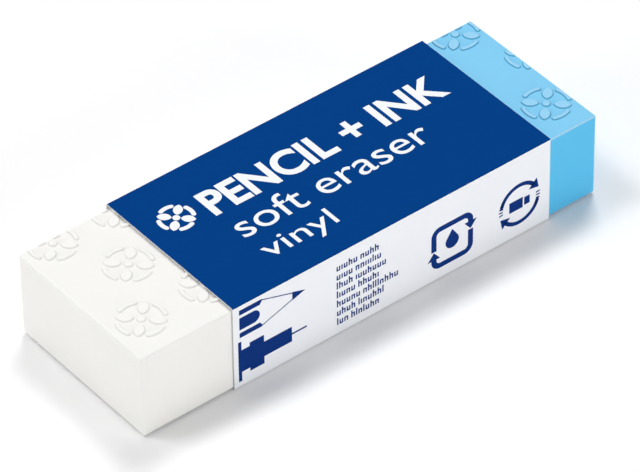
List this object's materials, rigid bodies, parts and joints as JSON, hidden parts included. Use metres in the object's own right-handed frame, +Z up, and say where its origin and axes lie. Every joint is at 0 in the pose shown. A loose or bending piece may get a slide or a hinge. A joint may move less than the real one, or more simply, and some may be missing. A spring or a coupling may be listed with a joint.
{
  "type": "combination eraser",
  "caption": "Soft block eraser in a folded card sleeve: white end for pencil, light blue end for ink, with raised motifs on top. The block slides through the open-ended sleeve.",
  "frame": {"origin": "middle of the footprint, on the surface that the sleeve lies on", "axes": "+X along the block from the white pencil end to the blue ink end, +Y across it towards the sleeve's glued lap, +Z up through the face with the raised motifs"},
  "size_m": [0.065, 0.0228, 0.012],
  "materials": {
    "white_vinyl": "matte soft vinyl, lightly dusted",
    "blue_vinyl": "matte soft vinyl with fine grit",
    "printed_card": "coated white card, printed dark blue, satin"
  },
  "bodies": {
    "sleeve": {"card_sleeve": "printed_card"},
    "eraser": {"pencil_section": "white_vinyl", "ink_section": "blue_vinyl"}
  },
  "joints": [
    {"name": "sleeve_slide", "type": "slide", "parent": "sleeve", "child": "eraser", "axis": [1, 0, 0], "range_m": [-0.054, 0.06]}
  ]
}
